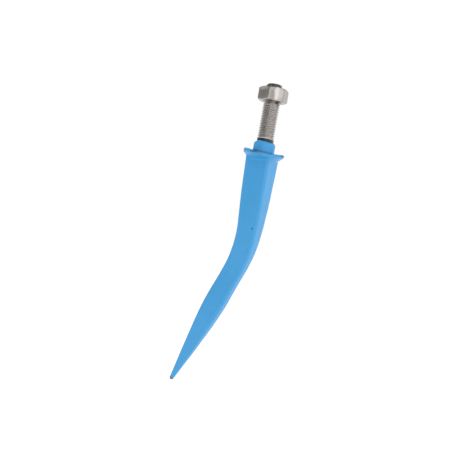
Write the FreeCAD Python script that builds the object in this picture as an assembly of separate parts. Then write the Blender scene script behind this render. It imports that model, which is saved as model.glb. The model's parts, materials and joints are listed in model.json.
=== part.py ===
# Harrow tine: a one-piece steel forging with a threaded stud, and the hexagon nut that clamps it.
# Millimetres. The origin is the centre of the flange's top face, which seats under the harrow's bar.
# +Z runs up the stud, and below the bend the tine sweeps towards -X, the way that the harrow travels.
# XZ is the tine's plane of symmetry.

import FreeCAD, Part
import math
import os
from FreeCAD import Vector

# Stud: a coarse 14 mm thread, drawn plain over its crests
stud_diameter = 14.0
stud_top = 57.0
stud_end_chamfer = 2.0

# Neck: the round boss that centres the tine in the bar's hole
neck_diameter = 18.0
neck_height = 8.7
neck_shoulder_drop = 2.6

# Flange: a thin round rim over a cone that runs out on the body, forged a little off the stud's axis
flange_diameter = 34.0
flange_offset = 0.7
flange_rim = 2.6
flange_edge_round = 0.9
flange_cone_angle = 39.0
flange_foot_fillet = 1.6
flange_foot_depth = 1.6

# Centreline of the body, measured downwards from the flange's top face
bend_start = 59.0
bend_angle = 22.3
bend_radius = 109.0
lower_bar_length = 38.0
point_length = 72.0

# Sections of the body: depth lies in the plane of the bend, and width lies across it
root_depth = 21.6
root_width = 21.6
upper_end = 47.0
upper_depth = 19.9
upper_width = 17.1
bend_start_depth = 17.9
bend_start_width = 15.6
bend_end_depth = 17.5
bend_end_width = 8.9
bar_end_depth = 18.0
bar_end_width = 9.7
taper_blend = 24.0
corner_radius = 2.2
arcs_per_corner = 2
section_count = 25

# Point: slightly full sides that narrow to a blunt, rounded tip
tip_depth = 3.0
tip_width = 3.2
tip_round = 1.1
tip_roundness = 0.42
point_fullness = 0.8

# Hexagon nut
nut_across_flats = 22.0
nut_height = 11.0
nut_face_diameter = 20.6
nut_chamfer_angle = 30.0
nut_seat_height = 42.5
nut_turn = 37.0
nut_running_clearance = 0.05
nut_bore_chamfer = 0.9

# Closeness that counts as touching
touching = 0.02


def revolve(edges):
    """Turn a closed half-profile in the XZ plane about the stud's axis."""
    face = Part.Face(Part.Wire(edges))
    return face.revolve(Vector(0, 0, 0), Vector(0, 0, 1), 360)


def line(start, end):
    return Part.LineSegment(Vector(start[0], 0, start[1]), Vector(end[0], 0, end[1])).toShape()


def arc(start, centre, end):
    """The short arc from start to end about centre, in the XZ plane."""
    radius = math.hypot(start[0] - centre[0], start[1] - centre[1])
    across = (start[0] + end[0] - 2 * centre[0], start[1] + end[1] - 2 * centre[1])
    size = math.hypot(across[0], across[1])
    middle = (centre[0] + radius * across[0] / size, centre[1] + radius * across[1] / size)
    points = [Vector(p[0], 0, p[1]) for p in (start, middle, end)]
    return Part.Arc(points[0], points[1], points[2]).toShape()


def shoulder_radius():
    """Radius of the arc that leaves the neck's side upright and meets the stud after the drop."""
    step = (neck_diameter - stud_diameter) / 2
    return (step ** 2 + neck_shoulder_drop ** 2) / (2 * step)


def cone_height(radius):
    """Height of the flange's cone at a distance from the flange's axis."""
    slope = math.radians(flange_cone_angle)
    rounding_r = flange_diameter / 2 - flange_edge_round
    rounding_z = -flange_rim + flange_edge_round
    touch_r = rounding_r + flange_edge_round * math.sin(slope)
    touch_z = rounding_z - flange_edge_round * math.cos(slope)
    return touch_z - (touch_r - radius) * math.tan(slope)


def stud():
    """Neck with its rounded shoulder and the stud above it, from a foot inside the flange."""
    stud_r = stud_diameter / 2
    neck_r = neck_diameter / 2
    side_top = neck_height - neck_shoulder_drop
    foot = -flange_rim
    shoulder_low = (neck_r, side_top)
    shoulder_high = (stud_r, neck_height)
    chamfer_low = (stud_r, stud_top - stud_end_chamfer)
    chamfer_high = (stud_r - stud_end_chamfer, stud_top)
    return revolve([
        line((0, foot), (neck_r, foot)),
        line((neck_r, foot), shoulder_low),
        arc(shoulder_low, (neck_r - shoulder_radius(), side_top), shoulder_high),
        line(shoulder_high, chamfer_low),
        line(chamfer_low, chamfer_high),
        line(chamfer_high, (0, stud_top)),
        line((0, stud_top), (0, foot)),
    ])


def flange():
    """Flat seat, rounded rim and the cone below it, which ends inside the body."""
    rim_r = flange_diameter / 2
    flat_r = rim_r - flange_edge_round
    low_z = -flange_rim + flange_edge_round
    foot_r = min(root_depth, root_width) / 2 - flange_foot_depth
    foot = (foot_r, cone_height(foot_r))
    cone_top_r = flat_r + flange_edge_round * math.sin(math.radians(flange_cone_angle))
    cone_top = (cone_top_r, cone_height(cone_top_r))
    rim_low = (rim_r, low_z)
    rim_high = (rim_r, -flange_edge_round)
    turned = revolve([
        line((0, foot[1]), foot),
        line(foot, cone_top),
        arc(cone_top, (flat_r, low_z), rim_low),
        line(rim_low, rim_high),
        arc(rim_high, (flat_r, -flange_edge_round), (flat_r, 0)),
        line((flat_r, 0), (0, 0)),
        line((0, 0), (0, foot[1])),
    ])
    turned.translate(Vector(flange_offset, 0, 0))
    return turned


def bend_length():
    return bend_radius * math.radians(bend_angle)


def body_length():
    return bend_start + bend_length() + lower_bar_length + point_length


def centreline(distance):
    """Place on the body's centreline and its turn from upright, in radians."""
    if distance <= bend_start:
        return Vector(0, 0, -distance), 0.0
    turn = min(distance - bend_start, bend_length()) / bend_radius
    x = -bend_radius * (1 - math.cos(turn))
    z = -bend_start - bend_radius * math.sin(turn)
    rest = max(distance - bend_start - bend_length(), 0)
    return Vector(x - rest * math.sin(turn), 0, z - rest * math.cos(turn)), turn


def between(start, end, share):
    return start + (end - start) * share


def eased(distance, knots):
    """Straight runs through the knots, each knee rounded by a parabola no longer than its runs."""
    value = knots[0][1]
    for (start, low), (end, high) in zip(knots, knots[1:]):
        share = min(max((distance - start) / (end - start), 0), 1)
        value += (high - low) * share
    for (start, low), (knee, middle), (end, high) in zip(knots, knots[1:], knots[2:]):
        slope_change = (high - middle) / (end - knee) - (middle - low) / (knee - start)
        blend = min(taper_blend, 2 * (knee - start), 2 * (end - knee))
        reach = max(blend / 2 - abs(distance - knee), 0)
        value += slope_change * reach ** 2 / (2 * blend)
    return value


def section_size(distance):
    """Depth, width and corner radius of the body's section at a distance from the seat."""
    bar_start = bend_start + bend_length()
    point_start = bar_start + lower_bar_length
    sizes = [
        (0, root_depth, root_width),
        (upper_end, upper_depth, upper_width),
        (bend_start, bend_start_depth, bend_start_width),
        (bar_start, bend_end_depth, bend_end_width),
        (point_start, bar_end_depth, bar_end_width),
        (body_length(), tip_depth, tip_width),
    ]
    share = max(distance - point_start, 0) / point_length
    swell = point_fullness * 4 * share * (1 - share)
    depth = eased(distance, [(place, depth) for place, depth, width in sizes]) + swell
    width = eased(distance, [(place, width) for place, depth, width in sizes]) + swell
    if share == 0:
        return depth, width, corner_radius
    return depth, width, width * between(corner_radius / bar_end_width, tip_roundness, share)


def corner_point(corner, step, depth, width, radius):
    """Point that lies a number of half arcs along one of the section's four rounded corners."""
    middle = math.radians(90 * corner + 45)
    x = math.copysign(depth / 2 - radius, math.cos(middle))
    y = math.copysign(width / 2 - radius, math.sin(middle))
    around = math.radians(90 * (corner + step / (2 * arcs_per_corner)))
    return Vector(x + radius * math.cos(around), y + radius * math.sin(around), 0)


def section(distance):
    """Rounded rectangle square to the centreline, with each corner rolled in equal short arcs."""
    place, turn = centreline(distance)
    size = section_size(distance)
    edges = []
    for corner in range(4):
        steps = [corner_point(corner, step, *size) for step in range(2 * arcs_per_corner + 1)]
        for start in range(0, 2 * arcs_per_corner, 2):
            edges.append(Part.Arc(steps[start], steps[start + 1], steps[start + 2]).toShape())
        following = corner_point((corner + 1) % 4, 0, *size)
        edges.append(Part.LineSegment(steps[-1], following).toShape())
    wire = Part.Wire(edges)
    wire.rotate(Vector(0, 0, 0), Vector(0, 1, 0), math.degrees(turn))
    wire.translate(place)
    return wire


def body():
    """Square bar below the flange, through the bend and the flatter lower bar to the rounded tip."""
    root = flange_rim / 2
    shares = [number / (section_count - 1) for number in range(section_count)]
    wires = [section(between(root, body_length(), share)) for share in shares]
    bar = Part.makeLoft(wires, True, False)
    tip, turn = centreline(body_length())
    end_edges = []
    for face in bar.Faces:
        if (face.CenterOfMass - tip).Length < touching:
            end_edges = face.Edges
    return bar.makeFillet(tip_round, end_edges)


def lies_on_cone(edge):
    """Whether an edge is part of the line where the flange's cone meets the body."""
    for point in edge.discretize(5):
        radius = math.hypot(point.x - flange_offset, point.y)
        if abs(point.z - cone_height(radius)) > touching or point.z > -flange_rim - touching:
            return False
    return True


def tine():
    """The whole forging, with the flange's cone run into the body by a fillet."""
    forging = flange().fuse([stud(), body()]).removeSplitter()
    foot_edges = [edge for edge in forging.Edges if lies_on_cone(edge)]
    return forging.makeFillet(flange_foot_fillet, foot_edges)


def hex_nut():
    """Hexagon prism with both rims chamfered, bored to run on the stud's crests."""
    corner_r = nut_across_flats / math.sqrt(3)
    start = Vector(corner_r, 0, 0)
    points = []
    for number in range(7):
        turned = FreeCAD.Rotation(Vector(0, 0, 1), 60 * number + nut_turn).multVec(start)
        points.append(turned)
    prism = Part.Face(Part.makePolygon(points)).extrude(Vector(0, 0, nut_height))
    face_r = nut_face_diameter / 2
    rise = (corner_r - face_r) * math.tan(math.radians(nut_chamfer_angle))
    turned_blank = revolve([
        line((0, 0), (face_r, 0)),
        line((face_r, 0), (corner_r, rise)),
        line((corner_r, rise), (corner_r, nut_height - rise)),
        line((corner_r, nut_height - rise), (face_r, nut_height)),
        line((face_r, nut_height), (0, nut_height)),
        line((0, nut_height), (0, 0)),
    ])
    bore_r = stud_diameter / 2 + nut_running_clearance
    mouth_r = bore_r + nut_bore_chamfer
    bore = revolve([
        line((0, 0), (mouth_r, 0)),
        line((mouth_r, 0), (bore_r, nut_bore_chamfer)),
        line((bore_r, nut_bore_chamfer), (bore_r, nut_height - nut_bore_chamfer)),
        line((bore_r, nut_height - nut_bore_chamfer), (mouth_r, nut_height)),
        line((mouth_r, nut_height), (0, nut_height)),
        line((0, nut_height), (0, 0)),
    ])
    nut = prism.common(turned_blank).cut(bore)
    nut.translate(Vector(0, 0, nut_seat_height))
    return nut


def main():
    os.makedirs("parts", exist_ok=True)
    pieces = {"tine": tine(), "hex_nut": hex_nut()}
    for name, shape in pieces.items():
        shape.exportStep("parts/" + name + ".step")
        box = shape.BoundBox
        print(name, shape.isValid(), len(shape.Solids), len(shape.Faces), round(shape.Volume, 1))
        print(" ", round(box.XMin, 2), round(box.XMax, 2), round(box.ZMin, 2), round(box.ZMax, 2))


main()
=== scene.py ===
import bmesh
import bpy
import json
import math
from mathutils import Matrix, Vector, noise


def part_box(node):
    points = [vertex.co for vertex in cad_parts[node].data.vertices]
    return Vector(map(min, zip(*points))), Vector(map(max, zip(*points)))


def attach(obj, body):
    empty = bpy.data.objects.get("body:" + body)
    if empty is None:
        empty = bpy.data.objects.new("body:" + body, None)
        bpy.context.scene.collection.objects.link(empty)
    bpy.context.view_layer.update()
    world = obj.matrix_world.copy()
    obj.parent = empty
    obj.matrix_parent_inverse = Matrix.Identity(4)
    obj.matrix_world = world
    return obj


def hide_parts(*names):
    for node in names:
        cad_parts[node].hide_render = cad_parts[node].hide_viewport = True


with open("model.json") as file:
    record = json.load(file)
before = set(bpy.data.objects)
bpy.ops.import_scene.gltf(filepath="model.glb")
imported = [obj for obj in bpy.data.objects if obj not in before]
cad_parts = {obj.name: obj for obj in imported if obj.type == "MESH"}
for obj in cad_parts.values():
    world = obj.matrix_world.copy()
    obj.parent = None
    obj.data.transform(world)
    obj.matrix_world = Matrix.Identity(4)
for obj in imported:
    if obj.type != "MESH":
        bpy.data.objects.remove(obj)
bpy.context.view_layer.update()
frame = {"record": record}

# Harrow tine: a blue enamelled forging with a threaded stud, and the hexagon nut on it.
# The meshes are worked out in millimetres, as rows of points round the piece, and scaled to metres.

MM = 0.001
tine_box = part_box("tine")
nut_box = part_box("hex_nut")
neck_mount = next(mount for mount in frame["record"]["mounts"] if mount["name"] == "neck")

# Stud: the chamfer at its end is as wide as it is high, with a rounded edge
stud_r = 7.0
stud_top = tine_box[1].z / MM
stud_end_chamfer = 1.5
stud_end_round = 0.9

# Neck, with a shoulder that rounds in to the stud
neck_r = neck_mount["dims"]["r_mm"]
neck_height = 8.7
neck_shoulder_drop = 2.6

# Thread: flat crests, straight flanks and rounded roots, with half-widths measured along the stud
pitch = 2.0
crest_half = 0.17
flank_end = 0.72
flank_slope = math.sqrt(3)
thread_depth = 1.12
thread_foot = 10.8
thread_run_out = 2.0
thread_turn = 70.0
flank_middle = (crest_half + flank_end) / 2
root_middle = (flank_end + pitch / 2) / 2
thread_phases = (
    -crest_half, crest_half, flank_middle, flank_end, root_middle,
    pitch / 2, pitch - root_middle, pitch - flank_end, pitch - flank_middle,
)

# Flange, a little off the stud's axis, with a coned underside that runs into the square body
flange_r = tine_box[1].y / MM
flange_offset = 0.7
flange_rim = 2.6
flange_edge_round = 0.9
flange_cone_angle = 39.0
flange_foot_blend = 0.75
flange_foot_end = 11.0
cone_least_r = 2.0

# How the hammer left the flange's rim bent, round one turn: azimuth, lift of its top and of its underside
flange_bends = (
    (-150, 0, 0),
    (-66, 2.1, 0.6),
    (-30, 0.8, 0.1),
    (-5, -1.2, -1.2),
    (38, -2.0, -2.0),
    (118, 0.4, 0.4),
    (210, 0, 0),
)
neck_bend_height = 2.5

# Centreline of the body, measured downwards from the seat
bend_start = 59.0
bend_angle = 22.3
bend_radius = 109.0
lower_bar_length = 38.0
point_length = 72.0

# Sections of the body: depth in the plane of the bend, and width across it
root_size = 21.6
upper_end = 47.0
upper_depth = 19.9
upper_width = 17.1
bend_start_depth = 17.9
bend_start_width = 15.6
bend_end_depth = 17.5
bend_end_width = 8.9
bar_end_depth = 18.0
bar_end_width = 9.7
taper_blend = 24.0
corner_radius = 2.2
tip_depth = 3.0
tip_width = 3.2
tip_round = 1.1
tip_roundness = 0.42
point_fullness = 0.8

# How far the hammer and dies leave the forging's faces from true, how long their swells are,
# and the lengths over which they die away at the tip and at the flange
forging_unevenness = 0.16
broad_swell = 17.0
short_swell = 5.0
short_swell_share = 0.4
short_swell_shift = Vector((9, 4, 2))
tip_fade = 20.0
flange_fade = 8.0

# Nut
nut_flats = 22.0
nut_seat = nut_box[0].z / MM
nut_top = nut_box[1].z / MM
nut_turn = 37.0
nut_face_r = 10.8
nut_chamfer_angle = 28.0
nut_corner_round = 0.7
nut_edge_round = 0.25
nut_thread_gap = 0.12
nut_minor_r = 5.95
nut_mouth_r = 7.95

# Steps of the forging's mesh, and the heights and shares of the way where plain stretches have rows
corner_steps = 8
side_steps = 20
tip_steps = 6
body_row_gap = 1.25
cone_steps = 30
rim_low_steps = 5
rim_high_steps = 7
seat_shares = (0.3, 0.6, 0.85, 1)
neck_row_heights = (0.4, 1, 2, 3, 4, 5)
shoulder_steps = 8
shank_shares = (0.3, 0.6)
stud_end_steps = 4

# Steps of the nut's mesh
nut_corner_steps = 5
nut_side_steps = 15
nut_edge_steps = 3
nut_side_shares = (0.25, 0.5, 0.75)

# Points this near are one, in metres, and faces that meet at a larger angle make a crisp edge
merge_distance = 2e-7
crisp_angle = 38

# Places of the two finishes in the forging's list of materials
enamel = 0
thread_steel = 1

# Sockets of a mix of two colours, by number because their names repeat
under = 6
over = 7
mixed = 2

# Sprayed enamel: its colours, and its patterns in millimetres
enamel_blue = "#339ad7"
enamel_pale_blue = "#3da2df"
enamel_mottle = 11
orange_peel = 1.8
orange_peel_depth = 0.03
chip_lumps = 2.2
chip_raggedness = 1.6
worn_steel = "#6e6a62"
# Colour of the dark marks, and of the painted shade and grime in the corner at the neck's foot
dirt_and_corner_shade = "#1c3d58"

# Wear and chips on the forging: centre, radii and strength. The tip is worn all round
tip_wear_radii = (3.0, 3.0, 3.4)
tip_wear = 0.9
worn_marks = [
    ((4, -16.3, -2.3), (3.6, 3, 1.1), 0.35),
    ((-13.7, 3.6, -137.5), (1.0, 1.2, 2.6), 0.6),
    ((-12.0, -11.6, 0.0), (2.4, 2.4, 1.8), 0.45),
]
dark_marks = [
    ((17.6, 0.2, -1.0), (1.3, 3.2, 1.3), 0.75),
    ((5.5, -7.4, -63.6), (0.9, 0.9, 1.0), 0.65),
    ((11.8, -12.2, -1.9), (2.4, 2.4, 0.6), 0.35),
    ((-0.8, -16.7, -1.4), (3.2, 2.4, 1.0), 0.65),
]

# Painted shade of the corner at the neck's foot, with grime in it: a thin ring all round, and blots between
# two azimuths, fainter towards the second
shade_and_dirt_height = -0.4
shade_and_dirt_width = 0.8
shade_and_dirt_rise = 1.0
ring_strength = 0.3
foot_blots = 18
foot_blot_r = 1.7
foot_blot_unevenness = 0.6
foot_blot_height = 0.2
foot_blot_rise = 0.85
foot_shade_and_dirt_start = -64
foot_shade_and_dirt_end = 56
foot_shade_and_dirt_start_strength = 0.6
foot_shade_and_dirt_end_strength = 0.3
foot_shade_and_dirt_fade_start = 0.4

# Line where the spray ends on the neck's shoulder: its height on the axis, its slope and its softness
spray_height = 8.6
spray_slope = (0.107, 0.055, 1)
spray_edge = 0.12
spray_lumps = 1.5
spray_raggedness = 0.9

# Bare shank: black scale, with a painted brown sheen on its lit side, at this azimuth.
# The painted sheen starts and is full at these shares of the shank's radius towards that side
shank_black = "#10212f"
shank_painted_sheen = "#5a5048"
sheen_side_azimuth = 117.4
sheen_start_share = 0.4
sheen_full_share = 0.95

# Rolled thread: its colours, and its sheen on burnished crests and duller flanks
thread_grey = "#beb9b5"
thread_pale_grey = "#d2cdca"
# Colour of the painted shadow under the nut and of the painted shade on the stud's end
painted_thread_shadow = "#2a2622"
thread_mottle = 2.5
crest_depth = 0.15
crest_roughness = 0.33
flank_roughness = 0.53

# Painted shadow on the thread just under the nut, and painted shade on the stud's end: centre, radii and
# strength
thread_shadow_marks = [
    ((6.5, -2.6, 41.4), (2.2, 2.2, 1.2), 0.7),
    ((7.0, 0.6, 40.4), (1.8, 3.4, 3.0), 0.35),
    ((1.0, -6.9, 41.6), (4.5, 2.5, 1.3), 0.35),
    ((4.5, -4.5, 54.9), (5.0, 5.0, 1.2), 0.5),
]

# Machined nut: its colours, and its patterns in millimetres. The real scratches are about 0.1 mm apart,
# which is too fine to show, so they are drawn as far apart as they need to show
nut_grey = "#b3aeaa"
nut_pale_grey = "#c2bdb8"
nut_mottle = 3
nut_scratches = 0.9
nut_scratch_depth = 0.02
nut_mark_lumps = 3
nut_mark_raggedness = 1.2

# Marks on the nut, each laid over the ones before it: colour, then centre, radii and strength of each place
rubbed_places = [
    ((7.2, -8.4, 49), (2.0, 2.0, 6), 0.9),
    ((9.0, -7.0, 49), (2.8, 2.8, 5), 0.45),
    ((-4.6, -10.2, 52.9), (5.0, 5.0, 2.6), 0.9),
]
oil_films = [
    ((4.3, -10.5, 46.5), (1.9, 1.9, 4.5), 0.55),
]
brown_bloom = [
    ((-3.6, -10.3, 47.6), (3.6, 3.6, 3.4), 0.35),
]
# Painted shadow on the nut's underside and in its bore's mouth, where it meets the thread
nut_painted_shadow = [
    ((10.6, -3.6, 42.8), (0.9, 1.2, 0.5), 0.6),
    ((7.2, -3.0, 42.6), (1.7, 2.4, 1.1), 1.0),
]
nut_marks = [
    ("#f2ede8", rubbed_places),
    ("#9a9993", oil_films),
    ("#a3928c", brown_bloom),
    ("#3a3632", nut_painted_shadow),
]

# Camera, fitted to the photograph, which is 458 pixels wide
frame_pixels = 458
camera_azimuth = 27.4
camera_elevation = -0.1
camera_roll = 9.85
camera_distance = 0.65
camera_focal_pixels = 774.9
film_width = 36
farthest_seen = 50
view_middle = Vector((-19.2, -0.2, -67.1)) * MM

# Studio in metres: a white room, a pale floor well below the point, and one soft lamp
white = "#ffffff"
paper_white = "#f6f6f6"
floor_drop = 0.1
floor_size = 30
floor_lift = 0.2
lamp_azimuth = 95
lamp_elevation = 25
lamp_distance = 1.0
lamp_size = 0.6
lamp_power = 1.1

# Dark cards beside the tine: name, first and last azimuth, and level. The ceiling card is round
side_cards = (
    ("grey_side", -129, -56, 0.38),
    ("black_edge", -56, 8, 0.04),
    ("grey_corner", 106, 134, 0.5),
)
card_distance = 3.0
card_steps = 48
ceiling_azimuth = -65
ceiling_height = 2.0
ceiling_reach = 52
ceiling_shift = 0.3
ceiling_level = 0.08


def between(start, end, share):
    """Value a share of the way from the start to the end."""
    return start + (end - start) * share


def polar_point(radius, angle, z):
    """Point at a distance from the stud's axis, an angle about it, and a height."""
    return Vector((radius * math.cos(angle), radius * math.sin(angle), z))


def direction(azimuth, elevation):
    """Unit vector towards a place round the object: azimuth 0 is -Y, and 90 is +X."""
    a = math.radians(azimuth)
    e = math.radians(elevation)
    return Vector((math.sin(a) * math.cos(e), -math.cos(a) * math.cos(e), math.sin(e)))


def bend_length():
    """Length of the bend along its centreline."""
    return bend_radius * math.radians(bend_angle)


def body_length():
    """Length of the body along its centreline, from the seat to the tip."""
    return bend_start + bend_length() + lower_bar_length + point_length


def centreline(distance):
    """Place on the body's centreline and its turn from upright, in radians."""
    if distance <= bend_start:
        return Vector((0, 0, -distance)), 0.0
    turn = min(distance - bend_start, bend_length()) / bend_radius
    x = -bend_radius * (1 - math.cos(turn))
    z = -bend_start - bend_radius * math.sin(turn)
    rest = max(distance - bend_start - bend_length(), 0)
    return Vector((x - rest * math.sin(turn), 0, z - rest * math.cos(turn))), turn


def eased(distance, knots):
    """Straight runs through the knots, each knee rounded by a parabola no longer than its runs."""
    value = knots[0][1]
    for (start, low), (end, high) in zip(knots, knots[1:]):
        share = min(max((distance - start) / (end - start), 0), 1)
        value += (high - low) * share
    for (start, low), (knee, middle), (end, high) in zip(knots, knots[1:], knots[2:]):
        slope_change = (high - middle) / (end - knee) - (middle - low) / (knee - start)
        blend = min(taper_blend, 2 * (knee - start), 2 * (end - knee))
        into = max(blend / 2 - abs(distance - knee), 0)
        value += slope_change * into ** 2 / (2 * blend)
    return value


def section_size(distance):
    """Depth, width and corner radius of the body's section at a distance from the seat."""
    bar_start = bend_start + bend_length()
    point_start = bar_start + lower_bar_length
    sizes = [
        (0, root_size, root_size),
        (upper_end, upper_depth, upper_width),
        (bend_start, bend_start_depth, bend_start_width),
        (bar_start, bend_end_depth, bend_end_width),
        (point_start, bar_end_depth, bar_end_width),
        (body_length(), tip_depth, tip_width),
    ]
    share = max(distance - point_start, 0) / point_length
    swell = point_fullness * 4 * share * (1 - share)
    depth = eased(distance, [(place, depth) for place, depth, width in sizes]) + swell
    width = eased(distance, [(place, width) for place, depth, width in sizes]) + swell
    if share == 0:
        return depth, width, corner_radius
    return depth, width, width * between(corner_radius / bar_end_width, tip_roundness, share)


def rounded_polygon(middles, radius, arc_steps, straight_steps):
    """Points round a regular or square outline whose corner arcs have these middles and one radius."""
    count = len(middles)
    turn = 2 * math.pi / count
    points = []
    for number, middle in enumerate(middles):
        following = middles[(number + 1) % count]
        facing = math.atan2(middle[1], middle[0]) if count != 4 else turn * (number + 0.5)
        start = facing - turn / 2
        for step in range(arc_steps):
            angle = start + turn * step / arc_steps
            points.append((middle[0] + radius * math.cos(angle), middle[1] + radius * math.sin(angle)))
        angle = start + turn
        out = (radius * math.cos(angle), radius * math.sin(angle))
        for step in range(straight_steps):
            share = step / straight_steps
            x = between(middle[0], following[0], share) + out[0]
            y = between(middle[1], following[1], share) + out[1]
            points.append((x, y))
    points.append(points[0])
    return points


def body_row(distance, inset=0):
    """Row of points round the body, square to its centreline."""
    place, turn = centreline(distance)
    depth, width, radius = section_size(distance)
    x = depth / 2 - radius
    y = width / 2 - radius
    outline = rounded_polygon([(x, y), (-x, y), (-x, -y), (x, -y)], radius - inset, corner_steps, side_steps)
    across = Vector((math.cos(turn), 0, -math.sin(turn)))
    return [place + across * px + Vector((0, py, 0)) for px, py in outline]


def reach(angle, radius, offset=0):
    """Distance from the stud's axis to a circle whose middle is offset along X."""
    return offset * math.cos(angle) + math.sqrt(radius ** 2 - (offset * math.sin(angle)) ** 2)


def round_row(angles, radius, z, offset=0):
    """Row of points round a level circle whose middle is offset along X."""
    return [polar_point(reach(angle, radius, offset), angle, z) for angle in angles]


def arc_points(middle, radius, start, end, steps):
    """Radius and height along an arc of a turned profile, angles in degrees from outwards."""
    points = []
    for step in range(steps + 1):
        angle = math.radians(between(start, end, step / steps))
        points.append((middle[0] + radius * math.cos(angle), middle[1] + radius * math.sin(angle)))
    return points


def cone_radius(z):
    """Radius of the flange's cone at a height."""
    slope = math.radians(flange_cone_angle)
    touch_r = flange_r - flange_edge_round + flange_edge_round * math.sin(slope)
    touch_z = -flange_rim + flange_edge_round - flange_edge_round * math.cos(slope)
    return touch_r - (touch_z - z) / math.tan(slope)


def flange_foot_row(depth):
    """Row where cone and body are one surface: the outer of the two, with a fillet between."""
    cone_r = cone_radius(-depth)
    row = []
    for point in body_row(depth):
        angle = math.atan2(point.y, point.x)
        body_r = math.hypot(point.x, point.y)
        cone_reach = reach(angle, cone_r, flange_offset) if cone_r > cone_least_r else 0
        near = max(flange_foot_blend - abs(body_r - cone_reach), 0)
        radius = max(body_r, cone_reach) + near ** 2 / (4 * flange_foot_blend)
        row.append(polar_point(radius, angle, -depth))
    return row


def rim_lift(azimuth, height_share):
    """Lift of the flange's rim, easing from each bend to the next.
    The share is 0 at its underside and 1 at its top."""
    for (start, top, underside), (end, next_top, next_underside) in zip(flange_bends, flange_bends[1:]):
        if start <= azimuth <= end:
            share = (azimuth - start) / (end - start)
            eased_share = share * share * (3 - 2 * share)
            top_lift = between(top, next_top, eased_share)
            underside_lift = between(underside, next_underside, eased_share)
            return between(underside_lift, top_lift, height_share)
    return 0


def bent_flange(row):
    """The row with the flange's bent rim. The bend dies away inwards and up the neck."""
    moved = []
    for point in row:
        radius = math.hypot(point.x, point.y)
        azimuth = math.degrees(math.atan2(point.x, -point.y))
        if azimuth < flange_bends[0][0]:
            azimuth += 360
        if point.z < 0:
            share = (radius - root_size / 2) / (flange_r - root_size / 2)
        else:
            share = radius / flange_r * (1 - point.z / neck_bend_height)
        lift = rim_lift(azimuth, min(max(1 + point.z / flange_rim, 0), 1))
        moved.append(point + Vector((0, 0, lift * min(max(share, 0), 1))))
    return moved


def thread_groove(phase):
    """Depth of the thread below its crest, by the distance along the stud from the crest's middle."""
    across = abs((phase + pitch / 2) % pitch - pitch / 2)
    if across < crest_half:
        return 0
    if across < flank_end:
        return (across - crest_half) * flank_slope
    flank_foot = (flank_end - crest_half) * flank_slope
    rest = (pitch / 2 - across) / (pitch / 2 - flank_end)
    return thread_depth - (thread_depth - flank_foot) * rest ** 2


def climb(angle):
    """Height that the thread climbs from its start to an angle about the stud."""
    return pitch * (angle / (2 * math.pi) + thread_turn / 360)


def stud_surface(z, angle):
    """Radius of the threaded stud. The thread runs out at its foot, and on into the chamfer at its end."""
    fade = min((z - thread_foot) / thread_run_out, 1)
    groove = thread_groove(z - climb(angle)) * max(fade, 0)
    return min(stud_r - groove, stud_r - stud_end_chamfer + stud_top - z)


def bore_surface(z, angle):
    """Radius of the nut's threaded bore, with a countersink at each end."""
    groove = thread_groove(z - climb(angle))
    into = min(z - nut_seat, nut_top - z)
    return max(stud_r - groove + nut_thread_gap, nut_minor_r, nut_mouth_r - into)


def helical_rows(angles, low, high, surface):
    """Rows that climb one pitch a turn, so that crests and roots follow them, held between two heights."""
    first = math.floor((low - climb(angles[-1])) / pitch) - 1
    last = math.ceil((high - climb(angles[0])) / pitch) + 1
    rows = []
    for turn in range(first, last + 1):
        for phase in thread_phases:
            row = []
            for angle in angles:
                z = min(max(turn * pitch + phase + climb(angle), low), high)
                row.append(polar_point(surface(z, angle), angle, z))
            rows.append(row)
    return rows


def column_angles(row):
    """Angle of each point of a row about the stud's axis, growing through one whole turn."""
    angles = [math.atan2(point[1], point[0]) for point in row]
    for number in range(1, len(angles)):
        while angles[number] < angles[number - 1]:
            angles[number] += 2 * math.pi
    return angles


def roughened(row, strength):
    """The row with the slight swells and hollows of a forged face."""
    middle = sum(row[:-1], Vector()) / (len(row) - 1)
    moved = []
    for point in row:
        broad = noise.noise(point / broad_swell)
        short = noise.noise(point / short_swell + short_swell_shift)
        out = (point - middle).normalized()
        moved.append(point + out * strength * (broad + short_swell_share * short))
    return moved


def tip_rows():
    """Rows over the rounded end of the point."""
    length = body_length()
    tip = centreline(length)[0]
    rows = [[tip] * len(body_row(length))]
    for step in range(tip_steps + 1):
        angle = math.radians(90 * step / tip_steps)
        inset = tip_round * (1 - math.sin(angle))
        rows.append(body_row(length - tip_round * (1 - math.cos(angle)), inset))
    return rows


def body_rows():
    """Rows up the forged body, from the rounded tip to the foot of the flange's cone."""
    length = body_length()
    count = round((length - tip_round - flange_foot_end) / body_row_gap)
    rows = []
    for step in range(1, count + 1):
        distance = between(length - tip_round, flange_foot_end, step / count)
        fade = min(1, (length - distance) / tip_fade, (distance - flange_foot_end) / flange_fade)
        rows.append(roughened(body_row(distance), forging_unevenness * fade))
    return rows


def flange_rows(angles):
    """Rows up the flange's cone, round its rim and in over the seat to the neck's foot."""
    cone_top = -flange_rim + flange_edge_round * (1 - math.cos(math.radians(flange_cone_angle)))
    rows = []
    for step in range(1, cone_steps):
        rows.append(flange_foot_row(between(flange_foot_end, -cone_top, step / cone_steps)))
    flat_r = flange_r - flange_edge_round
    low_middle = (flat_r, -flange_rim + flange_edge_round)
    high_middle = (flat_r, -flange_edge_round)
    rim = arc_points(low_middle, flange_edge_round, -flange_cone_angle, 0, rim_low_steps)
    rim += arc_points(high_middle, flange_edge_round, 0, 90, rim_high_steps)
    for radius, z in rim:
        rows.append(round_row(angles, radius, z, flange_offset))
    seat_edge = round_row(angles, flat_r, 0, flange_offset)
    neck_foot = round_row(angles, neck_r, 0)
    for share in seat_shares:
        rows.append([outer.lerp(inner, share) for outer, inner in zip(seat_edge, neck_foot)])
    return [bent_flange(row) for row in rows]


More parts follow.
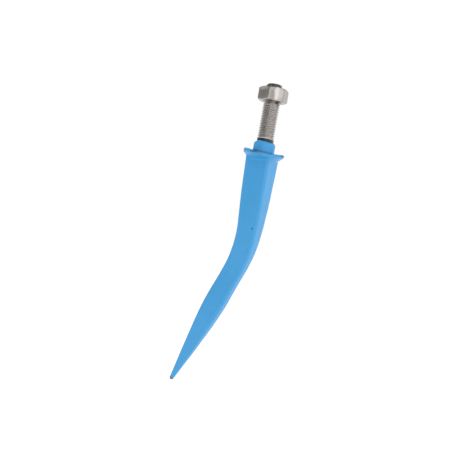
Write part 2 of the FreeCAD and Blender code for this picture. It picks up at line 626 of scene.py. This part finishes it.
def neck_rows(angles):
    """Rows up the neck's side, over its shoulder and up the bare shank."""
    side_top = neck_height - neck_shoulder_drop
    rows = [bent_flange(round_row(angles, neck_r, z)) for z in (*neck_row_heights, side_top)]
    step_in = neck_r - stud_r
    shoulder_r = (step_in ** 2 + neck_shoulder_drop ** 2) / (2 * step_in)
    sweep = math.degrees(math.asin(neck_shoulder_drop / shoulder_r))
    for radius, z in arc_points((neck_r - shoulder_r, side_top), shoulder_r, 0, sweep, shoulder_steps)[1:]:
        rows.append(round_row(angles, radius, z))
    for share in shank_shares:
        rows.append(round_row(angles, stud_r, between(neck_height, thread_foot, share)))
    return rows


def stud_rows(angles):
    """Rows up the thread, round the edge of the stud's end and in over it."""
    chamfer_angle = 45
    chamfer = math.radians(chamfer_angle)
    edge_start = stud_top - stud_end_round * (1 - math.cos(chamfer))
    rows = helical_rows(angles, thread_foot, edge_start, stud_surface)
    flat_r = stud_r - stud_end_chamfer - stud_end_round * math.tan(chamfer / 2)
    edge_middle = (flat_r, stud_top - stud_end_round)
    for radius, z in arc_points(edge_middle, stud_end_round, chamfer_angle, 90, stud_end_steps)[1:]:
        rows.append(round_row(angles, radius, z))
    rows.append(round_row(angles, flat_r / 2, stud_top))
    rows.append([Vector((0, 0, stud_top))] * len(angles))
    return rows


def forging_rows():
    """Rows from the point up to the stud's end, each with the number of the finish above it."""
    angles = column_angles(body_row(flange_rim))
    painted = tip_rows() + body_rows() + flange_rows(angles) + neck_rows(angles)
    return [(row, enamel) for row in painted] + [(row, thread_steel) for row in stud_rows(angles)]


def hexagon_outline():
    """Points round the nut's hexagon."""
    corner_r = nut_flats / math.sqrt(3)
    middle_r = corner_r - nut_corner_round * 2 / math.sqrt(3)
    middles = []
    for number in range(6):
        angle = math.radians(nut_turn + 60 * number)
        middles.append((middle_r * math.cos(angle), middle_r * math.sin(angle)))
    return rounded_polygon(middles, nut_corner_round, nut_corner_steps, nut_side_steps)


def nut_end_rows(outline, angles):
    """Rows out over one end of the nut, by depth into it: its face, its chamfer and their broken edge."""
    rise = math.tan(math.radians(nut_chamfer_angle))
    rounding = math.radians(90 - nut_chamfer_angle)
    cut = nut_edge_round * math.tan(rounding / 2)
    edges = [math.hypot(x, y) for x, y in outline]
    rows = [round_row(angles, nut_mouth_r, 0), round_row(angles, nut_face_r, 0)]
    halfway = []
    for edge_r, angle in zip(edges, angles):
        radius = between(nut_face_r, edge_r, 0.5)
        halfway.append(polar_point(radius, angle, (radius - nut_face_r) * rise))
    rows.append(halfway)
    for step in range(nut_edge_steps + 1):
        tilt = rounding * (1 - step / nut_edge_steps)
        row = []
        for edge_r, angle in zip(edges, angles):
            radius = edge_r - nut_edge_round * (1 - math.cos(tilt))
            depth = (edge_r - nut_face_r) * rise + cut - nut_edge_round * math.sin(tilt)
            row.append(polar_point(radius, angle, depth))
        rows.append(row)
    return rows


def nut_rows():
    """Rows from the bore's foot out over the seat, up the hexagon, and back down the thread."""
    outline = hexagon_outline()
    angles = column_angles(outline)
    end_rows = nut_end_rows(outline, angles)
    lower = [[Vector((p.x, p.y, nut_seat + p.z)) for p in row] for row in end_rows]
    upper = [[Vector((p.x, p.y, nut_top - p.z)) for p in row] for row in reversed(end_rows)]
    sides = []
    for share in nut_side_shares:
        sides.append([low.lerp(high, share) for low, high in zip(lower[-1], upper[0])])
    bore = reversed(helical_rows(angles, nut_seat, nut_top, bore_surface))
    return [(row, 0) for row in (*lower, *sides, *upper, *bore)]


def knit(name, rows, materials):
    """Mesh object through the rows, closed by merging the points that meet."""
    width = len(rows[0][0])
    points = [point * MM for row, finish in rows for point in row]
    faces = []
    finishes = []
    for number, (row, finish) in enumerate(rows[:-1]):
        for column in range(width - 1):
            low = number * width + column
            faces.append((low, low + 1, low + 1 + width, low + width))
            finishes.append(finish)
    mesh = bpy.data.meshes.new(name)
    mesh.from_pydata(points, [], faces)
    mesh.polygons.foreach_set("material_index", finishes)
    work = bmesh.new()
    work.from_mesh(mesh)
    bmesh.ops.remove_doubles(work, verts=work.verts, dist=merge_distance)
    bmesh.ops.recalc_face_normals(work, faces=work.faces)
    work.to_mesh(mesh)
    work.free()
    mesh.polygons.foreach_set("use_smooth", [True] * len(mesh.polygons))
    mesh.set_sharp_from_angle(angle=math.radians(crisp_angle))
    for material in materials:
        mesh.materials.append(material)
    piece = bpy.data.objects.new(name, mesh)
    bpy.context.scene.collection.objects.link(piece)
    return piece


def linear(colour):
    """Linear red, green, blue and alpha of an sRGB hex colour."""
    values = []
    for start in (1, 3, 5):
        value = int(colour[start:start + 2], 16) / 255
        values.append(value / 12.92 if value <= 0.04045 else ((value + 0.055) / 1.055) ** 2.4)
    return (*values, 1)


def add_node(tree, kind, settings=None, inputs=None):
    """Add a node with its settings. An input is a value, or the socket that it is linked from."""
    node = tree.nodes.new(kind)
    for name, value in (settings or {}).items():
        setattr(node, name, value)
    for name, value in (inputs or {}).items():
        if isinstance(value, bpy.types.NodeSocket):
            tree.links.new(value, node.inputs[name])
        else:
            node.inputs[name].default_value = value
    return node


def repeats(size):
    """Scale of a pattern whose features are this many millimetres across."""
    return 1 / (size * MM)


def empty_material(name):
    """New material and its node tree, with no nodes in it."""
    material = bpy.data.materials.new(name)
    material.use_nodes = True
    material.node_tree.nodes.clear()
    return material, material.node_tree


def place_on_piece(tree):
    """Socket that gives the place on the piece, in metres."""
    return add_node(tree, "ShaderNodeTexCoord").outputs["Object"]


def ragged(tree, place, size, strength):
    """The place pushed about by lumps of a size, which makes the edges of patches ragged. Millimetres."""
    lumps = add_node(tree, "ShaderNodeTexNoise", {}, {"Vector": place, "Scale": repeats(size), "Detail": 2.0})
    centred = add_node(tree, "ShaderNodeVectorMath", {"operation": "SUBTRACT"}, {
        0: lumps.outputs["Color"], 1: (0.5, 0.5, 0.5)})
    moved = add_node(tree, "ShaderNodeVectorMath", {"operation": "MULTIPLY_ADD"}, {
        0: centred.outputs["Vector"], 1: [strength * MM] * 3, 2: place})
    return moved.outputs["Vector"]


def patch(tree, place, centre, radii, softness=0.3):
    """1 inside an egg-shaped patch and 0 outside it. The centre and radii are in millimetres."""
    away = add_node(tree, "ShaderNodeVectorMath", {"operation": "SUBTRACT"}, {
        0: place, 1: Vector(centre) * MM})
    share = add_node(tree, "ShaderNodeVectorMath", {"operation": "DIVIDE"}, {
        0: away.outputs["Vector"], 1: Vector(radii) * MM})
    distance = add_node(tree, "ShaderNodeVectorMath", {"operation": "LENGTH"}, {0: share.outputs["Vector"]})
    inside = add_node(tree, "ShaderNodeMapRange", {"interpolation_type": "SMOOTHSTEP"}, {
        "Value": distance.outputs["Value"], "From Min": 1 + softness, "From Max": 1 - softness})
    return inside.outputs["Result"]


def patches(tree, place, marks):
    """All the marks as one mask. Each is a centre, radii and how strongly it shows."""
    mask = 0.0
    for centre, radii, strength in marks:
        faded = add_node(tree, "ShaderNodeMath", {"operation": "MULTIPLY"}, {
            0: patch(tree, place, centre, radii), 1: strength})
        mask = add_node(tree, "ShaderNodeMath", {"operation": "MAXIMUM"}, {
            0: faded.outputs["Value"], 1: mask}).outputs["Value"]
    return mask


def axis_distance(tree, place):
    """Distance of the place from the stud's axis, in metres."""
    level = add_node(tree, "ShaderNodeVectorMath", {"operation": "MULTIPLY"}, {0: place, 1: (1, 1, 0)})
    length = add_node(tree, "ShaderNodeVectorMath", {"operation": "LENGTH"}, {0: level.outputs["Vector"]})
    return length.outputs["Value"]


def neck_corner_shade_and_dirt(tree, place):
    """Thin dark ring in the corner between the neck and the seat: painted shade of that corner, with grime in
    it.
    """
    height = add_node(tree, "ShaderNodeSeparateXYZ", {}, {"Vector": place}).outputs["Z"]
    profile = add_node(tree, "ShaderNodeCombineXYZ", {}, {"X": axis_distance(tree, place), "Y": height})
    return patch(tree, profile.outputs["Vector"], (neck_r, shade_and_dirt_height, 0), (shade_and_dirt_width, shade_and_dirt_rise, 1))


def foot_shade_and_dirt_marks():
    """Blots of painted shade and grime along the neck's foot, where the bent seat carries them."""
    marks = []
    for step in range(foot_blots):
        share = step / (foot_blots - 1)
        azimuth = between(foot_shade_and_dirt_start, foot_shade_and_dirt_end, share)
        centre = direction(azimuth, 0) * neck_r
        radius = foot_blot_r * (1 + foot_blot_unevenness * noise.noise(centre))
        centre.z = rim_lift(azimuth, 1) * neck_r / flange_r + foot_blot_height
        fading = max(share - foot_shade_and_dirt_fade_start, 0) / (1 - foot_shade_and_dirt_fade_start)
        strength = between(foot_shade_and_dirt_start_strength, foot_shade_and_dirt_end_strength, fading)
        marks.append((centre, (radius, radius, foot_blot_rise), strength))
    return marks


def bare_shank(tree, place):
    """1 above the line on the neck's shoulder where the spray stopped, which slopes."""
    above = add_node(tree, "ShaderNodeVectorMath", {"operation": "DOT_PRODUCT"}, {0: place, 1: spray_slope})
    mask = add_node(tree, "ShaderNodeMapRange", {}, {
        "Value": above.outputs["Value"], "From Min": (spray_height - spray_edge) * MM,
        "From Max": (spray_height + spray_edge) * MM})
    return mask.outputs["Result"]


def shank_colour(tree, place):
    """Black scale of the bare shank, with a painted brown sheen on its lit side."""
    # Painted brown sheen, lighter towards the shank's lit side
    towards_sheen_side = add_node(tree, "ShaderNodeVectorMath", {"operation": "DOT_PRODUCT"}, {
        0: place, 1: direction(sheen_side_azimuth, 0)})
    side_sheen = add_node(tree, "ShaderNodeMapRange", {}, {
        "Value": towards_sheen_side.outputs["Value"], "From Min": sheen_start_share * stud_r * MM,
        "From Max": sheen_full_share * stud_r * MM})
    colour = add_node(tree, "ShaderNodeMix", {"data_type": "RGBA"}, {
        "Factor": side_sheen.outputs["Result"], under: linear(shank_black), over: linear(shank_painted_sheen)})
    return colour.outputs[mixed]


def forging_dirt_and_shade(tree, place):
    """Mask of the dark places on the enamel: the ring and blots at the neck's foot, which are painted shade
    of that corner with grime in it, and single dark marks.
    """
    ring = add_node(tree, "ShaderNodeMath", {"operation": "MULTIPLY"}, {
        0: neck_corner_shade_and_dirt(tree, place), 1: ring_strength})
    dirt_and_shade = add_node(tree, "ShaderNodeMath", {"operation": "MAXIMUM"}, {
        0: ring.outputs["Value"], 1: patches(tree, place, dark_marks + foot_shade_and_dirt_marks())})
    return dirt_and_shade.outputs["Value"]


def sprayed_enamel():
    """Satin enamel sprayed over the forging: an even mid blue with a soft gloss and a little orange peel.
    It is worn and chipped to dark steel in places, has painted shade and grime in the corner at the neck's
    foot, and ends on the black shank, whose lit side has a painted brown sheen."""
    material, tree = empty_material("sprayed_blue_enamel")
    place = place_on_piece(tree)
    mottle = add_node(tree, "ShaderNodeTexNoise", {}, {
        "Vector": place, "Scale": repeats(enamel_mottle), "Detail": 3.0})
    paint = add_node(tree, "ShaderNodeMix", {"data_type": "RGBA"}, {
        "Factor": mottle.outputs["Fac"], under: linear(enamel_blue), over: linear(enamel_pale_blue)})
    chipped_place = ragged(tree, place, chip_lumps, chip_raggedness)
    tip_mark = (centreline(body_length())[0], tip_wear_radii, tip_wear)
    with_wear = add_node(tree, "ShaderNodeMix", {"data_type": "RGBA"}, {
        "Factor": patches(tree, chipped_place, [tip_mark] + worn_marks),
        under: paint.outputs[mixed], over: linear(worn_steel)})
    # Painted shade and grime in the corner at the neck's foot, and dark marks
    with_dirt_and_shade = add_node(tree, "ShaderNodeMix", {"data_type": "RGBA"}, {
        "Factor": forging_dirt_and_shade(tree, chipped_place),
        under: with_wear.outputs[mixed], over: linear(dirt_and_corner_shade)})
    colour = add_node(tree, "ShaderNodeMix", {"data_type": "RGBA"}, {
        "Factor": bare_shank(tree, ragged(tree, place, spray_lumps, spray_raggedness)),
        under: with_dirt_and_shade.outputs[mixed], over: shank_colour(tree, place)})
    peel = add_node(tree, "ShaderNodeTexNoise", {}, {
        "Vector": place, "Scale": repeats(orange_peel), "Detail": 2.0})
    bump = add_node(tree, "ShaderNodeBump", {}, {
        "Height": peel.outputs["Fac"], "Distance": orange_peel_depth * MM, "Strength": 1.0})
    shader = add_node(tree, "ShaderNodeBsdfPrincipled", {}, {
        "Base Color": colour.outputs[mixed], "Roughness": 0.36, "IOR": 1.58,
        "Normal": bump.outputs["Normal"]})
    add_node(tree, "ShaderNodeOutputMaterial", {}, {"Surface": shader.outputs["BSDF"]})
    return material


def rolled_thread_steel():
    """Rolled steel thread, dulled to a soft warm grey. Its crests are a little brighter than its flanks."""
    material, tree = empty_material("rolled_thread_steel")
    place = place_on_piece(tree)
    mottle = add_node(tree, "ShaderNodeTexNoise", {}, {
        "Vector": place, "Scale": repeats(thread_mottle), "Detail": 3.0})
    steel = add_node(tree, "ShaderNodeMix", {"data_type": "RGBA"}, {
        "Factor": mottle.outputs["Fac"], under: linear(thread_grey), over: linear(thread_pale_grey)})
    # Painted shadow under the nut, and painted shade on the stud's end
    colour = add_node(tree, "ShaderNodeMix", {"data_type": "RGBA"}, {
        "Factor": patches(tree, place, thread_shadow_marks), under: steel.outputs[mixed], over: linear(painted_thread_shadow)})
    sheen = add_node(tree, "ShaderNodeMapRange", {}, {
        "Value": axis_distance(tree, place), "From Min": (stud_r - crest_depth) * MM,
        "From Max": stud_r * MM, "To Min": flank_roughness, "To Max": crest_roughness})
    shader = add_node(tree, "ShaderNodeBsdfPrincipled", {}, {
        "Base Color": colour.outputs[mixed], "Roughness": sheen.outputs["Result"], "Metallic": 1.0})
    add_node(tree, "ShaderNodeOutputMaterial", {}, {"Surface": shader.outputs["BSDF"]})
    return material


def machined_nut_steel():
    """Nut cut from bright hexagon bar and dulled in a bin: soft grey sheen, with old oily films on it, and
    painted shadow where its bore meets the thread.
    """
    material, tree = empty_material("dull_machined_steel")
    place = place_on_piece(tree)
    mottle = add_node(tree, "ShaderNodeTexNoise", {}, {
        "Vector": place, "Scale": repeats(nut_mottle), "Detail": 4.0})
    colour = add_node(tree, "ShaderNodeMix", {"data_type": "RGBA"}, {
        "Factor": mottle.outputs["Fac"], under: linear(nut_grey), over: linear(nut_pale_grey)})
    marked_place = ragged(tree, place, nut_mark_lumps, nut_mark_raggedness)
    for tint, places in nut_marks:
        colour = add_node(tree, "ShaderNodeMix", {"data_type": "RGBA"}, {
            "Factor": patches(tree, marked_place, places), under: colour.outputs[mixed], over: linear(tint)})
    scratches = add_node(tree, "ShaderNodeTexNoise", {}, {
        "Vector": place, "Scale": repeats(nut_scratches), "Detail": 3.0})
    bump = add_node(tree, "ShaderNodeBump", {}, {
        "Height": scratches.outputs["Fac"], "Distance": nut_scratch_depth * MM, "Strength": 1.0})
    shader = add_node(tree, "ShaderNodeBsdfPrincipled", {}, {
        "Base Color": colour.outputs[mixed], "Roughness": 0.42, "Metallic": 1.0,
        "Normal": bump.outputs["Normal"]})
    add_node(tree, "ShaderNodeOutputMaterial", {}, {"Surface": shader.outputs["BSDF"]})
    return material


def studio_world():
    """White studio, the same from every side."""
    world = bpy.data.worlds.new("studio")
    bpy.context.scene.world = world
    world.use_nodes = True
    world.node_tree.nodes.clear()
    room = add_node(world.node_tree, "ShaderNodeBackground", {}, {"Color": linear(white), "Strength": 1.0})
    add_node(world.node_tree, "ShaderNodeOutputWorld", {}, {"Surface": room.outputs["Background"]})


def stage_piece(name, points, faces, material):
    """Mesh that is part of the studio and not of the tine."""
    mesh = bpy.data.meshes.new(name)
    mesh.from_pydata(points, [], faces)
    mesh.materials.append(material)
    piece = bpy.data.objects.new(name, mesh)
    bpy.context.scene.collection.objects.link(piece)
    return piece


def dark_card(name, points, faces, level):
    """Dark card that stands far from the tine and shows only in its shine, where it makes a dark band."""
    material, tree = empty_material(name)
    surface = add_node(tree, "ShaderNodeEmission", {}, {"Color": linear(white), "Strength": level})
    add_node(tree, "ShaderNodeOutputMaterial", {}, {"Surface": surface.outputs["Emission"]})
    card = stage_piece(name, points, faces, material)
    card.visible_camera = False
    card.visible_diffuse = False
    card.visible_transmission = False
    card.visible_volume_scatter = False
    card.visible_shadow = False


def dark_side(name, start, end, level):
    """Curved card beside the tine, from the floor up, between two azimuths."""
    points = []
    for step in range(card_steps + 1):
        azimuth = between(start, end, step / card_steps)
        foot = view_middle + direction(azimuth, 0) * card_distance
        points.append((foot.x, foot.y, tine_box[0].z - floor_drop))
        points.append((foot.x, foot.y, view_middle.z + ceiling_height))
    faces = [(2 * n, 2 * n + 2, 2 * n + 3, 2 * n + 1) for n in range(card_steps)]
    dark_card(name, points, faces, level)


def dark_ceiling():
    """Round card above the tine."""
    radius = ceiling_height * math.tan(math.radians(ceiling_reach))
    middle = view_middle + direction(ceiling_azimuth, 0) * ceiling_shift
    points = []
    for step in range(card_steps):
        place = middle + direction(360 * step / card_steps, 0) * radius
        points.append((place.x, place.y, view_middle.z + ceiling_height))
    dark_card("dark_ceiling", points, [tuple(range(card_steps))], ceiling_level)


def floor_paper():
    """Matt white paper. What the camera, clear things and shiny ones see of it is lifted to white,
    and keeps the shadow."""
    material, tree = empty_material("white_floor_paper")
    paper = add_node(tree, "ShaderNodeBsdfDiffuse", {}, {"Color": linear(paper_white)})
    rays = add_node(tree, "ShaderNodeLightPath")
    seen = add_node(tree, "ShaderNodeMath", {"operation": "MAXIMUM"}, {
        0: rays.outputs["Is Camera Ray"], 1: rays.outputs["Is Transmission Ray"]})
    seen_or_mirrored = add_node(tree, "ShaderNodeMath", {"operation": "MAXIMUM"}, {
        0: seen.outputs["Value"], 1: rays.outputs["Is Glossy Ray"]})
    lift = add_node(tree, "ShaderNodeMath", {"operation": "MULTIPLY"}, {
        0: seen_or_mirrored.outputs["Value"], 1: floor_lift})
    glow = add_node(tree, "ShaderNodeEmission", {}, {
        "Color": linear(white), "Strength": lift.outputs["Value"]})
    both = add_node(tree, "ShaderNodeAddShader", {}, {0: paper.outputs["BSDF"], 1: glow.outputs["Emission"]})
    add_node(tree, "ShaderNodeOutputMaterial", {}, {"Surface": both.outputs["Shader"]})
    return material


def studio_floor():
    """Pale floor well below the point."""
    out = floor_size / 2
    height = tine_box[0].z - floor_drop
    corners = [(-out, -out, height), (out, -out, height), (out, out, height), (-out, out, height)]
    stage_piece("floor", corners, [(0, 1, 2, 3)], floor_paper())


def studio_lamp():
    """Square soft lamp aimed at the middle of the tine, and not itself seen in the steel."""
    data = bpy.data.lights.new("key", "AREA")
    data.size = lamp_size
    data.energy = lamp_power
    lamp = bpy.data.objects.new("key", data)
    bpy.context.scene.collection.objects.link(lamp)
    towards = direction(lamp_azimuth, lamp_elevation)
    lamp.location = view_middle + towards * lamp_distance
    lamp.rotation_mode = "QUATERNION"
    lamp.rotation_quaternion = towards.to_track_quat("Z", "Y")
    lamp.visible_glossy = False
    lamp.visible_camera = False


def photograph_camera():
    """Camera at the photograph's place, with its roll."""
    data = bpy.data.cameras.new("camera")
    data.sensor_width = film_width
    data.lens = camera_focal_pixels / frame_pixels * film_width
    data.clip_end = farthest_seen
    camera = bpy.data.objects.new("camera", data)
    bpy.context.scene.collection.objects.link(camera)
    back = direction(camera_azimuth, camera_elevation)
    right = direction(camera_azimuth + 90, 0)
    facing = Matrix((right, back.cross(right), back)).transposed().to_4x4()
    place = Matrix.Translation(view_middle + back * camera_distance)
    camera.matrix_world = place @ facing @ Matrix.Rotation(math.radians(camera_roll), 4, "Z")
    bpy.context.scene.camera = camera


forging = knit("tine_forging", forging_rows(), [sprayed_enamel(), rolled_thread_steel()])
nut = knit("hexagon_nut", nut_rows(), [machined_nut_steel()])
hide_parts("tine")
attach(forging, "tine")
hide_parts("hex_nut")
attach(nut, "nut")

studio_world()
studio_floor()
for name, start, end, level in side_cards:
    dark_side(name, start, end, level)
dark_ceiling()
studio_lamp()
photograph_camera()

bpy.context.scene.view_settings.view_transform = "Standard"
